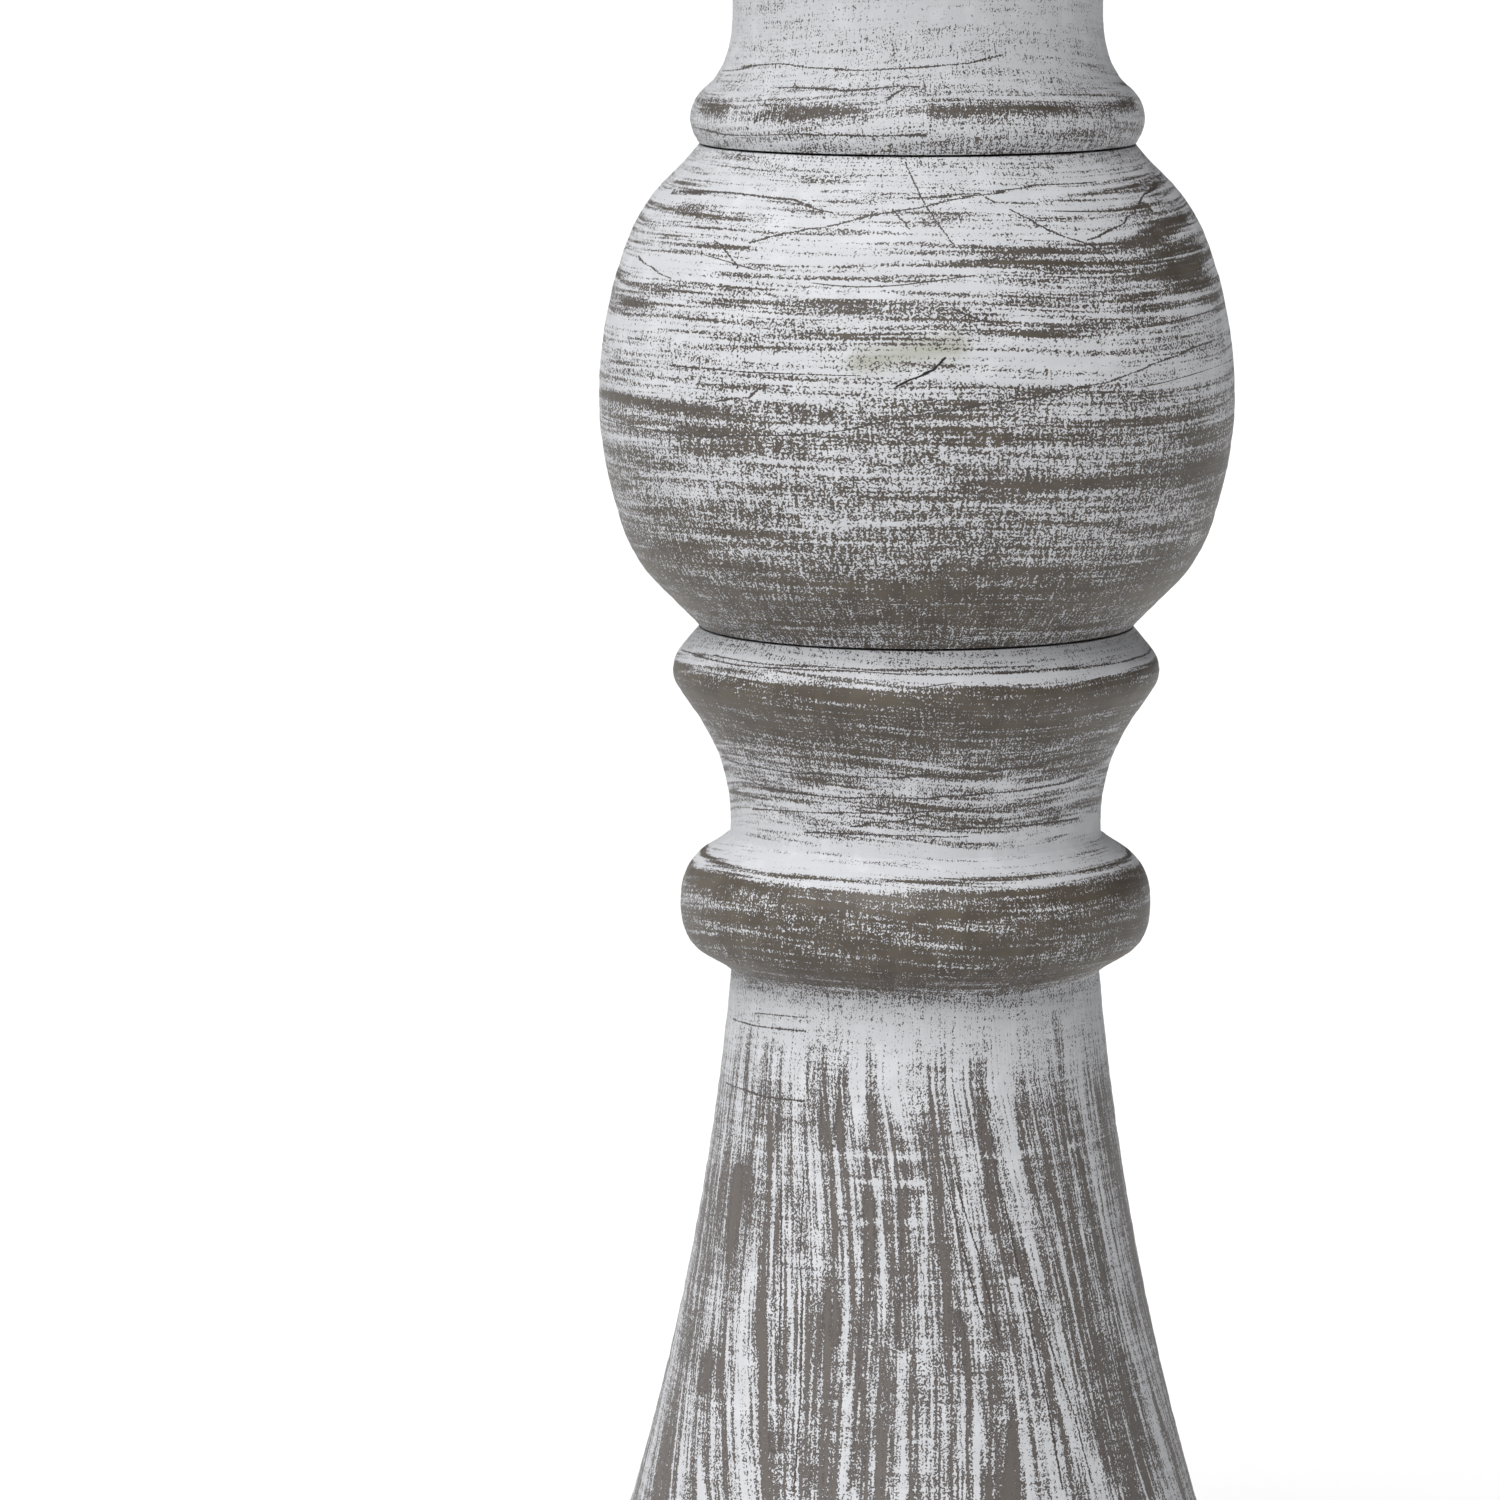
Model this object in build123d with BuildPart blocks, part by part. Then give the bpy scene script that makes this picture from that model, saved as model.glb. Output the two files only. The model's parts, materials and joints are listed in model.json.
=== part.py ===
from build123d import *
import os

# Turned wooden candlestick, built as it is made: separate turnings that screw together.
# Units are millimetres, +Z is up, the floor is z = 0 and the turning axis is x = y = 0.
os.makedirs("parts", exist_ok=True)

# ---- driving dimensions ----------------------------------------------------
# Heights of the joints between the pieces, from the floor up.
PAD_TOP = 2.0  # the felt pads lift the wood off the table
FOOT_TOP = 41.0
COLUMN_TOP = 193.85
BALL_TOP = 265.6
NECK_TOP = 321.0
RIM_TOP = 350.0
PRICKET_TIP = 370.0

SEAM_GAP = 0.35  # each joint closes on a raised seat, which leaves a fine open line
SEAT_R = 22.0
SEAM_R = 32.4  # the wood at both joints of the ball

# The screw joints between the wooden pieces: M8 hanger bolts in threaded inserts.
STUD_R = 4.0
STUD_BORE_R = STUD_R + 0.05
STUD_OUT = 15.0  # twelve turns of the 1.25 mm thread
STUD_IN = 30.0
INSERT_R = 6.0
INSERT_LENGTH = 14.0

# The pricket's screw joint: M6 in a smaller insert.
SHANK_R = 3.0
SHANK_IN = 12.0  # twelve turns of the 1 mm thread
PLATE_INSERT_R = 5.0
PLATE_INSERT_LENGTH = 13.0

SPIGOT_R = 15.0
SPIGOT_LENGTH = 5.0
TENON_R = 12.0
TENON_LENGTH = 18.0

BALL_BOTTOM = COLUMN_TOP + SEAM_GAP
NECK_BOTTOM = BALL_TOP + SEAM_GAP


def cut_hole(z_low, z_high, radius):
    """A plain round hole on the turning axis, for taking out of a piece."""
    with BuildPart() as hole:
        with BuildSketch(Plane.XY.offset(z_low)):
            Circle(radius)
        extrude(amount=z_high - z_low)
    return hole.part


def sleeve(z_low, length, outer_r, bore_r):
    """A short tube on the turning axis: a threaded insert or a washer."""
    with BuildPart() as tube:
        with BuildSketch(Plane.XY.offset(z_low)):
            Circle(outer_r)
            Circle(bore_r, mode=Mode.SUBTRACT)
        extrude(amount=length)
    return tube.part


def hanger_bolt(z_seat):
    """A round stud with chamfered ends, STUD_IN below the seat and STUD_OUT above it."""
    with BuildPart() as stud:
        with BuildSketch(Plane.XY.offset(z_seat - STUD_IN)):
            Circle(STUD_R)
        extrude(amount=STUD_IN + STUD_OUT)
        chamfer(stud.edges().filter_by(GeomType.CIRCLE), 0.8)
    return stud.part


# ---- felt pads: four discs glued under the foot -----------------------------
PAD_R = 9.0
PAD_CIRCLE_R = 58.0

with BuildPart() as felt_pads:
    with BuildSketch(Plane.XY):
        with PolarLocations(PAD_CIRCLE_R, 4, start_angle=45):
            Circle(PAD_R)
    extrude(amount=PAD_TOP)

# ---- foot: a rounded edge, a cove and a bead under the column ---------------
FOOT_R = 75.0
EDGE_HEIGHT = 17.0  # the thickness of the rounded outer edge
BEAD_R = 53.0
BEAD_HEIGHT = 7.0
COUNTERBORE_R = 14.0
COUNTERBORE_TOP = PAD_TOP + 14.0
BOLT_HOLE_R = 4.5
SOCKET_FLOOR = FOOT_TOP - SPIGOT_LENGTH
BEAD_LOW = FOOT_TOP - BEAD_HEIGHT
EDGE_TOP = PAD_TOP + EDGE_HEIGHT

with BuildPart() as foot:
    with BuildSketch(Plane.XZ):
        with BuildLine():
            Line((0, FOOT_TOP), (0, PAD_TOP))
            Line((0, PAD_TOP), (FOOT_R - 3, PAD_TOP))
            ThreePointArc(
                (FOOT_R - 3, PAD_TOP),
                (FOOT_R, PAD_TOP + EDGE_HEIGHT / 2),
                (FOOT_R - 3, EDGE_TOP),
            )
            Line((FOOT_R - 3, EDGE_TOP), (FOOT_R - 5, EDGE_TOP + 0.8))
            ThreePointArc(
                (FOOT_R - 5, EDGE_TOP + 0.8),
                (FOOT_R - 16.5, EDGE_TOP + 5.6),
                (BEAD_R - 1.8, BEAD_LOW - 0.4),
            )
            Line((BEAD_R - 1.8, BEAD_LOW - 0.4), (BEAD_R - 1.2, BEAD_LOW))
            ThreePointArc(
                (BEAD_R - 1.2, BEAD_LOW),
                (BEAD_R, BEAD_LOW + BEAD_HEIGHT / 2),
                (BEAD_R - 1.8, FOOT_TOP),
            )
            Line((BEAD_R - 1.8, FOOT_TOP), (0, FOOT_TOP))
        make_face()
    revolve(axis=Axis.Z)
    add(cut_hole(PAD_TOP, COUNTERBORE_TOP, COUNTERBORE_R), mode=Mode.SUBTRACT)
    add(cut_hole(COUNTERBORE_TOP, SOCKET_FLOOR, BOLT_HOLE_R), mode=Mode.SUBTRACT)
    add(cut_hole(SOCKET_FLOOR, FOOT_TOP, SPIGOT_R), mode=Mode.SUBTRACT)

# ---- the bolt from below: washers, bolt and the insert it draws on ----------
WASHER_THICK = 1.6
SPRING_WASHER_THICK = 2.0
HEAD_R = 6.5
HEAD_HEIGHT = 8.0
BOLT_LENGTH = 45.0
WASHER_LOW = COUNTERBORE_TOP - WASHER_THICK
SPRING_WASHER_LOW = WASHER_LOW - SPRING_WASHER_THICK
HEAD_LOW = SPRING_WASHER_LOW - HEAD_HEIGHT

with BuildPart() as foot_washer:
    add(sleeve(WASHER_LOW, WASHER_THICK, 12.0, 4.2))

with BuildPart() as foot_spring_washer:
    add(sleeve(SPRING_WASHER_LOW, SPRING_WASHER_THICK, 6.8, 4.2))
    with BuildSketch(Plane.XY.offset(SPRING_WASHER_LOW)):
        with Locations((5.5, 0)):
            Rectangle(4.0, 0.8, rotation=15)
    extrude(amount=SPRING_WASHER_THICK, mode=Mode.SUBTRACT)

with BuildPart() as foot_bolt:
    with BuildSketch(Plane.XY.offset(HEAD_LOW)):
        Circle(HEAD_R)
    extrude(amount=HEAD_HEIGHT)
    chamfer(foot_bolt.edges().group_by(Axis.Z)[0], 0.6)
    with BuildSketch(Plane.XY.offset(HEAD_LOW + HEAD_HEIGHT)):
        Circle(STUD_R)
    extrude(amount=BOLT_LENGTH)
    chamfer(foot_bolt.edges().group_by(Axis.Z)[-1], 0.8)
    with BuildSketch(Plane.XY.offset(HEAD_LOW)):
        RegularPolygon(3.0, 6, major_radius=False)
    extrude(amount=4.0, mode=Mode.SUBTRACT)

COLUMN_INSERT_LENGTH = 20.0

with BuildPart() as column_insert:
    add(sleeve(SOCKET_FLOOR, COLUMN_INSERT_LENGTH, INSERT_R, STUD_BORE_R))

# ---- lower column: bell, ring, cove and flared ring, one turning ------------
BELL_FOOT_R = 49.0
BELL_WAIST_R = 27.6
BELL_TOP = 142.3
SPOOL_R = 27.6  # the thinnest wood, in the cove
RING_LOW = 144.7
RING_HIGH = 160.2
RING_R = 35.3
CREASE = 162.6
FLARE_R = 36.4
FLARE_Z = 187.4

with BuildPart() as lower_column:
    with BuildSketch(Plane.XZ):
        with BuildLine():
            Line((0, BALL_BOTTOM), (0, SOCKET_FLOOR))
            Line((0, SOCKET_FLOOR), (SPIGOT_R, SOCKET_FLOOR))
            Line((SPIGOT_R, SOCKET_FLOOR), (SPIGOT_R, FOOT_TOP))
            Line((SPIGOT_R, FOOT_TOP), (BELL_FOOT_R, FOOT_TOP))
            ThreePointArc((BELL_FOOT_R, FOOT_TOP), (33.95, 97.3), (BELL_WAIST_R, BELL_TOP))
            Line((BELL_WAIST_R, BELL_TOP), (31.0, RING_LOW))
            Spline(
                (31.0, RING_LOW),
                (34.1, 147.0),
                (RING_R, 152.4),
                (34.2, 157.5),
                (31.4, RING_HIGH),
            )
            Line((31.4, RING_HIGH), (SPOOL_R + 0.2, CREASE))
            ThreePointArc((SPOOL_R + 0.2, CREASE), (28.8, 172.5), (33.2, 181.4))
            Line((33.2, 181.4), (35.3, 184.5))
            ThreePointArc((35.3, 184.5), (FLARE_R, FLARE_Z), (35.7, 189.9))
            Line((35.7, 189.9), (SEAM_R, COLUMN_TOP))
            Line((SEAM_R, COLUMN_TOP), (SEAT_R, COLUMN_TOP))
            Line((SEAT_R, COLUMN_TOP), (SEAT_R, BALL_BOTTOM))
            Line((SEAT_R, BALL_BOTTOM), (0, BALL_BOTTOM))
        make_face()
    revolve(axis=Axis.Z)
    add(cut_hole(SOCKET_FLOOR, SOCKET_FLOOR + 24, INSERT_R), mode=Mode.SUBTRACT)
    add(cut_hole(BALL_BOTTOM - STUD_IN - 1, BALL_BOTTOM, STUD_BORE_R), mode=Mode.SUBTRACT)

with BuildPart() as column_stud:
    add(hanger_bolt(BALL_BOTTOM))

# ---- ball: fuller than a sphere, and widest a little below its middle -------
BALL_R = 47.3
BALL_MIDDLE = 228.0
# Radius and height of the ball's outline below and above its widest place.
BALL_LOWER = [(SEAM_R, BALL_BOTTOM), (36.2, 198.0), (41.5, 203.9), (45.0, 212.7), (46.9, 221.8)]
BALL_UPPER = [(46.3, 239.5), (43.85, 249.2), (39.3, 258.2), (35.8, 261.9), (SEAM_R, BALL_TOP)]

with BuildPart() as ball:
    with BuildSketch(Plane.XZ):
        with BuildLine():
            Line((0, NECK_BOTTOM), (0, BALL_BOTTOM))
            Line((0, BALL_BOTTOM), (SEAM_R, BALL_BOTTOM))
            Spline(*BALL_LOWER, (BALL_R, BALL_MIDDLE), *BALL_UPPER)
            Line((SEAM_R, BALL_TOP), (SEAT_R, BALL_TOP))
            Line((SEAT_R, BALL_TOP), (SEAT_R, NECK_BOTTOM))
            Line((SEAT_R, NECK_BOTTOM), (0, NECK_BOTTOM))
        make_face()
    revolve(axis=Axis.Z)
    add(cut_hole(BALL_BOTTOM, BALL_BOTTOM + STUD_OUT + 2, INSERT_R), mode=Mode.SUBTRACT)
    add(cut_hole(NECK_BOTTOM - STUD_IN - 1, NECK_BOTTOM, STUD_BORE_R), mode=Mode.SUBTRACT)

with BuildPart() as ball_insert:
    add(sleeve(BALL_BOTTOM, INSERT_LENGTH, INSERT_R, STUD_BORE_R))

with BuildPart() as ball_stud:
    add(hanger_bolt(NECK_BOTTOM))

# ---- neck: ring and cove below, flare and bead above ------------------------
NECK_RING_R = 33.75
NECK_R = 27.4
NECK_WAIST = 285.6
NECK_BEAD_R = 36.0

with BuildPart() as neck:
    with BuildSketch(Plane.XZ):
        with BuildLine():
            Line((0, NECK_TOP), (0, NECK_BOTTOM))
            Line((0, NECK_BOTTOM), (SEAM_R, NECK_BOTTOM))
            ThreePointArc((SEAM_R, NECK_BOTTOM), (NECK_RING_R, 269.4), (32.0, 273.6))
            Spline(
                (32.0, 273.6),
                (29.3, 276.5),
                (27.9, 280.2),
                (NECK_R, NECK_WAIST),
                (28.5, 296.5),
                (32.6, 309.5),
            )
            Line((32.6, 309.5), (34.0, 310.6))
            ThreePointArc((34.0, 310.6), (NECK_BEAD_R, 315.6), (34.0, NECK_TOP))
            Line((34.0, NECK_TOP), (0, NECK_TOP))
        make_face()
    revolve(axis=Axis.Z)
    add(cut_hole(NECK_BOTTOM, NECK_BOTTOM + STUD_OUT + 2, INSERT_R), mode=Mode.SUBTRACT)
    add(cut_hole(NECK_TOP - TENON_LENGTH - 1, NECK_TOP, TENON_R), mode=Mode.SUBTRACT)

with BuildPart() as neck_insert:
    add(sleeve(NECK_BOTTOM, INSERT_LENGTH, INSERT_R, STUD_BORE_R))

# ---- candle plate: a dished disc with a tenon glued into the neck -----------
PLATE_R = 60.0
RIM_LOW = 334.0
RECESS_R = 53.5
RECESS_FLOOR = RIM_TOP - 6.0
DIMPLE_FLOOR = RECESS_FLOOR - 1.7
PLATE_INSERT_LOW = DIMPLE_FLOOR - PLATE_INSERT_LENGTH

with BuildPart() as candle_plate:
    with BuildSketch(Plane.XZ):
        with BuildLine():
            Line((0, RECESS_FLOOR), (0, NECK_TOP - TENON_LENGTH))
            Line((0, NECK_TOP - TENON_LENGTH), (TENON_R, NECK_TOP - TENON_LENGTH))
            Line((TENON_R, NECK_TOP - TENON_LENGTH), (TENON_R, NECK_TOP))
            Line((TENON_R, NECK_TOP), (34.0, NECK_TOP))
            ThreePointArc((34.0, NECK_TOP), (40.5, 329.0), (PLATE_R - 6, RIM_LOW - 1))
            Line((PLATE_R - 6, RIM_LOW - 1), (PLATE_R - 4, RIM_LOW))
            ThreePointArc((PLATE_R - 4, RIM_LOW), (PLATE_R, 342.0), (PLATE_R - 4, RIM_TOP))
            Line((PLATE_R - 4, RIM_TOP), (RECESS_R, RIM_TOP))
            Line((RECESS_R, RIM_TOP), (RECESS_R, RECESS_FLOOR))
            Line((RECESS_R, RECESS_FLOOR), (0, RECESS_FLOOR))
        make_face()
    revolve(axis=Axis.Z)
    add(cut_hole(DIMPLE_FLOOR, RECESS_FLOOR, 11.0), mode=Mode.SUBTRACT)
    add(cut_hole(PLATE_INSERT_LOW, DIMPLE_FLOOR, PLATE_INSERT_R), mode=Mode.SUBTRACT)

with BuildPart() as plate_insert:
    add(sleeve(PLATE_INSERT_LOW, PLATE_INSERT_LENGTH, PLATE_INSERT_R, SHANK_R + 0.05))

# ---- drip pan: pressed sheet with a rolled rim and a dimple for the collar --
SHEET = 1.0
PAN_FLOOR = RECESS_FLOOR + SHEET
PAN_FLOOR_R = 45.0
PAN_WALL_R = 50.5
ROLL_R = 1.3
DIMPLE_R = 9.6
DIMPLE_DEPTH = 1.5
COLLAR_LOW = PAN_FLOOR - DIMPLE_DEPTH

with BuildPart() as drip_pan:
    with BuildSketch(Plane.XZ):
        with BuildLine():
            Line((SHANK_R + 0.3, COLLAR_LOW - SHEET), (DIMPLE_R, COLLAR_LOW - SHEET))
            Line((DIMPLE_R, COLLAR_LOW - SHEET), (DIMPLE_R + 1.0, RECESS_FLOOR))
            Line((DIMPLE_R + 1.0, RECESS_FLOOR), (PAN_FLOOR_R, RECESS_FLOOR))
            Line((PAN_FLOOR_R, RECESS_FLOOR), (PAN_WALL_R, RIM_TOP))
            Line((PAN_WALL_R, RIM_TOP), (PAN_WALL_R - SHEET, RIM_TOP))
            Line((PAN_WALL_R - SHEET, RIM_TOP), (PAN_FLOOR_R - 0.4, PAN_FLOOR))
            Line((PAN_FLOOR_R - 0.4, PAN_FLOOR), (DIMPLE_R, PAN_FLOOR))
            Line((DIMPLE_R, PAN_FLOOR), (DIMPLE_R - 1.0, COLLAR_LOW))
            Line((DIMPLE_R - 1.0, COLLAR_LOW), (SHANK_R + 0.3, COLLAR_LOW))
            Line((SHANK_R + 0.3, COLLAR_LOW), (SHANK_R + 0.3, COLLAR_LOW - SHEET))
        make_face()
        with Locations((PAN_WALL_R, RIM_TOP + 0.7)):
            Circle(ROLL_R)
    revolve(axis=Axis.Z)

# ---- pricket: spike, flat collar and threaded shank, one turned piece -------
SPIKE_R = 2.0
SPIKE_CYLINDER_TOP = 358.0
COLLAR_R = 8.0
SHANK_TIP = DIMPLE_FLOOR - SHANK_IN

with BuildPart() as pricket:
    with BuildSketch(Plane.XZ):
        with BuildLine():
            Polyline(
                (0, PRICKET_TIP),
                (0, SHANK_TIP),
                (SHANK_R - 0.6, SHANK_TIP),
                (SHANK_R, SHANK_TIP + 0.6),
                (SHANK_R, COLLAR_LOW),
                (COLLAR_R, COLLAR_LOW),
                (COLLAR_R, PAN_FLOOR - 0.3),
                (COLLAR_R - 0.3, PAN_FLOOR),
                (SPIKE_R, PAN_FLOOR),
                (SPIKE_R, SPIKE_CYLINDER_TOP),
                (0.15, PRICKET_TIP),
                (0, PRICKET_TIP),
            )
        make_face()
    revolve(axis=Axis.Z)

# ---- labels and files -------------------------------------------------------
felt_pads.part.label = "felt_pads"
foot.part.label = "foot"
foot_bolt.part.label = "foot_bolt"
foot_washer.part.label = "foot_washer"
foot_spring_washer.part.label = "foot_spring_washer"
column_insert.part.label = "column_insert"
lower_column.part.label = "lower_column"
column_stud.part.label = "column_stud"
ball.part.label = "ball"
ball_insert.part.label = "ball_insert"
ball_stud.part.label = "ball_stud"
neck.part.label = "neck"
neck_insert.part.label = "neck_insert"
candle_plate.part.label = "candle_plate"
plate_insert.part.label = "plate_insert"
drip_pan.part.label = "drip_pan"
pricket.part.label = "pricket"

export_step(felt_pads.part, "parts/felt_pads.step")
export_step(foot.part, "parts/foot.step")
export_step(foot_bolt.part, "parts/foot_bolt.step")
export_step(foot_washer.part, "parts/foot_washer.step")
export_step(foot_spring_washer.part, "parts/foot_spring_washer.step")
export_step(column_insert.part, "parts/column_insert.step")
export_step(lower_column.part, "parts/lower_column.step")
export_step(column_stud.part, "parts/column_stud.step")
export_step(ball.part, "parts/ball.step")
export_step(ball_insert.part, "parts/ball_insert.step")
export_step(ball_stud.part, "parts/ball_stud.step")
export_step(neck.part, "parts/neck.step")
export_step(neck_insert.part, "parts/neck_insert.step")
export_step(candle_plate.part, "parts/candle_plate.step")
export_step(plate_insert.part, "parts/plate_insert.step")
export_step(drip_pan.part, "parts/drip_pan.step")
export_step(pricket.part, "parts/pricket.step")
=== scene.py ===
"""Looks for the turned, whitewashed candlestick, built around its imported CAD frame. Metres throughout."""

import json
import math
from statistics import NormalDist

import bmesh
import bpy
import numpy as np
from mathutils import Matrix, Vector


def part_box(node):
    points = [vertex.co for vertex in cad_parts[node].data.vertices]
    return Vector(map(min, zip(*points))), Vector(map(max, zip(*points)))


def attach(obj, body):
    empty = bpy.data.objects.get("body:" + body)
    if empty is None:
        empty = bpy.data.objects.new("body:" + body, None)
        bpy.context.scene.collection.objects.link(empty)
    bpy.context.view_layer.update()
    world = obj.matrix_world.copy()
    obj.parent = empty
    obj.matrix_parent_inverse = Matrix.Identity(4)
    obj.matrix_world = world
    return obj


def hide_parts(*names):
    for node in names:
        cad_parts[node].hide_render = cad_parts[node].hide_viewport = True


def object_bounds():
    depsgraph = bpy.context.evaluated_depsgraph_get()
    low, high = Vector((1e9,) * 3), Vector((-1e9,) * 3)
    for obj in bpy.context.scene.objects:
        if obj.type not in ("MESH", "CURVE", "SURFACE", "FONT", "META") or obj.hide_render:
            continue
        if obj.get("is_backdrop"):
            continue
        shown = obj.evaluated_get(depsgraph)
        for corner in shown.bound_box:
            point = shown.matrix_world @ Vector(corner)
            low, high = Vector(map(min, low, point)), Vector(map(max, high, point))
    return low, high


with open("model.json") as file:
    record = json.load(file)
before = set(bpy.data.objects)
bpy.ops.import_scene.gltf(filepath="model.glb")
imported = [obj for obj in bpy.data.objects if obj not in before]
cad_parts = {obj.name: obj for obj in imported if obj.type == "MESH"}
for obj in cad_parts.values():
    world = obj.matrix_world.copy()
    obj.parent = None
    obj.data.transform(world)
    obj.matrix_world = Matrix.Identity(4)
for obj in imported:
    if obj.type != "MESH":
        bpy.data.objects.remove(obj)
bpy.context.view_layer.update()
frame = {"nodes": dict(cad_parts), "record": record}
nodes = frame["nodes"]
groups = frame["record"]["behaviour"]["bodies"]
body_of_node = {n: body for body, members in groups.items() for n in members}
MM = 0.001
rng = np.random.default_rng(7)


# ---- turned pieces: dense meshes spun from the outline of a round CAD node --
ROW_STEP = 0.6 * MM  # spacing of the rings of points on the outside of a piece
ROUND_STEPS = 288  # points in each of those rings
CORNER = math.radians(28)  # a sharper turn than this stays a corner
SMOOTH_PASSES = 8
SMOOTH_PULL = 0.5  # how far a pass moves a point towards the middle of its neighbours
LAST_PULL = 0.35  # the same, in a last pass that also softens the corners
DIGITS = 7  # points that agree to this many decimals, in metres, are one
TOUCHING = 1e-6  # nearer than this, in metres, is on a plane, on the axis or level
WELD = 1e-7


def outline(node):
    """The section of a round CAD node in the half-plane y = 0: a chain of (r, z) points."""
    mesh = nodes[node].data
    flat = [(round(v.co.x, DIGITS), round(v.co.z, DIGITS)) for v in mesh.vertices]
    on_section = [abs(v.co.y) < TOUCHING < v.co.x for v in mesh.vertices]
    links = {}
    for edge in mesh.edges:
        i, j = edge.vertices
        if on_section[i] and on_section[j] and flat[i] != flat[j]:
            links.setdefault(flat[i], set()).add(flat[j])
            links.setdefault(flat[j], set()).add(flat[i])
    # a flat face has no edge across it, so open ends at one height belong together
    levels = {}
    for point, near in links.items():
        if len(near) == 1:
            levels.setdefault(round(point[1], DIGITS - 1), []).append(point)
    tips = []
    for level in levels.values():
        level.sort()
        if len(level) % 2:
            tips.append(level.pop(0))
        for a, b in zip(level[::2], level[1::2]):
            links[a].add(b)
            links[b].add(a)
    chain = [min(tips or links, key=lambda p: (p[1], -p[0]))]
    while True:
        ahead = [p for p in links[chain[-1]] if p not in chain]
        if not ahead:
            break
        chain.append(ahead[0])
    if tips:
        chain = [(0.0, chain[0][1]), *chain, (0.0, chain[-1][1])]
    else:
        chain.append(chain[0])
    chain = np.array(chain)
    r, z = chain.T
    outward_first = np.sum(r[:-1] * z[1:] - r[1:] * z[:-1]) > 0
    return chain if outward_first else chain[::-1]


def faired(chain, fine_from, step):
    """The chain with close, smoothed points on the outside: at least fine_from from the axis, and
    not on a level face. Also tells which points those are."""
    points, fine, corner = [chain[0]], [False], [True]
    spans = np.diff(chain, axis=0)
    turns = np.arctan2(spans[:, 1], spans[:, 0])
    bend = np.abs((np.diff(turns) + math.pi) % (2 * math.pi) - math.pi)
    sharp = [True, *(bend > CORNER), True]
    for i, (a, b) in enumerate(zip(chain[:-1], chain[1:])):
        outside = min(a[0], b[0]) >= fine_from and abs(b[1] - a[1]) > TOUCHING
        count = math.ceil(np.hypot(*(b - a)) / step) if outside else 1
        for k in range(1, count + 1):
            points.append(a + (b - a) * k / count)
            fine.append(outside)
            corner.append(k == count and sharp[i + 1])
    points, fine, corner = np.array(points), np.array(fine), np.array(corner)
    inner = fine[1:-1] & fine[2:]
    pulls = [SMOOTH_PULL * (inner & ~corner[1:-1])] * SMOOTH_PASSES + [LAST_PULL * inner]
    for pull in pulls:
        offset = (points[:-2] + points[2:]) / 2 - points[1:-1]
        points[1:-1] += pull[:, None] * offset
    return points, fine


def mesh_of_rings(name, rings, **values):
    """A mesh from rings of points, ring by ring along a section, with UVs round and along it.
    Each named value, one for a ring, becomes an attribute of the points."""
    rows, around, _ = rings.shape
    index = np.arange(rows * around).reshape(rows, around)
    low, high = index[:-1], index[1:]
    faces = np.stack([low, np.roll(low, -1, 1), np.roll(high, -1, 1), high], -1).reshape(-1, 4)
    mesh = bpy.data.meshes.new(name)
    mesh.from_pydata(rings.reshape(-1, 3).tolist(), [], faces.tolist())
    length = np.r_[0, np.cumsum(np.linalg.norm(np.diff(rings[:, 0], axis=0), axis=1))]
    u = np.arange(around) / around
    low_u, high_u = np.broadcast_to(u, low.shape), np.broadcast_to(u + 1 / around, low.shape)
    low_v, high_v = (np.broadcast_to(v[:, None], low.shape) for v in (length[:-1], length[1:]))
    corners = np.stack([low_u, low_v, high_u, low_v, high_u, high_v, low_u, high_v], -1)
    mesh.uv_layers.new(name="Turned").data.foreach_set("uv", corners.reshape(-1).astype(np.float32))
    for key, value in values.items():
        attribute = mesh.attributes.new(key, "FLOAT", "POINT")
        attribute.data.foreach_set("value", np.repeat(value, around).astype(np.float32))
    # rings on the axis become one point, and a section that closes is joined up
    welded = bmesh.new()
    welded.from_mesh(mesh)
    bmesh.ops.remove_doubles(welded, verts=welded.verts, dist=WELD)
    welded.to_mesh(mesh)
    welded.free()
    mesh.shade_smooth()
    mesh.set_sharp_from_angle(angle=CORNER)
    return mesh


def spun(node, fine_from, relief=None, step=ROW_STEP, segments=ROUND_STEPS):
    """A dense copy of a round CAD node, which it stands for. relief(angle, along, z) gives the
    height of the surface over the CAD one, in metres, at an angle round the piece, a distance
    along its outline and a height."""
    points, fine = faired(outline(node), fine_from, step)
    r, z = points.T
    span = np.hypot(*np.diff(points, axis=0).T)
    along = np.r_[0, np.cumsum(span)]
    first = np.argmax(fine) - 1
    along -= along[first]
    slope = np.gradient(points, axis=0)
    slope /= np.maximum(np.hypot(*slope.T), 1e-12)[:, None]
    out_r, out_z = slope[:, 1], -slope[:, 0]
    angle = np.arange(segments) * 2 * math.pi / segments
    lift = np.zeros((len(points), segments))
    if relief:
        lift = relief(angle[None, :], along[:, None], z[:, None])
        edge = np.minimum.reduce([fine, np.r_[False, fine[:-1]], np.r_[fine[1:], False]])
        lift = lift * edge[:, None]
    ring_r = np.maximum(r[:, None] + lift * out_r[:, None], 0)
    ring_z = z[:, None] + lift * out_z[:, None]
    rings = np.stack([ring_r * np.cos(angle), ring_r * np.sin(angle), ring_z], -1)
    coated = fine | np.r_[fine[1:], False]
    mesh = mesh_of_rings(node + "_turned", rings, along=along, coated=coated)
    piece = bpy.data.objects.new(node + "_turned", mesh)
    bpy.context.scene.collection.objects.link(piece)
    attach(piece, body_of_node[node])
    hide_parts(node)
    return piece


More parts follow.
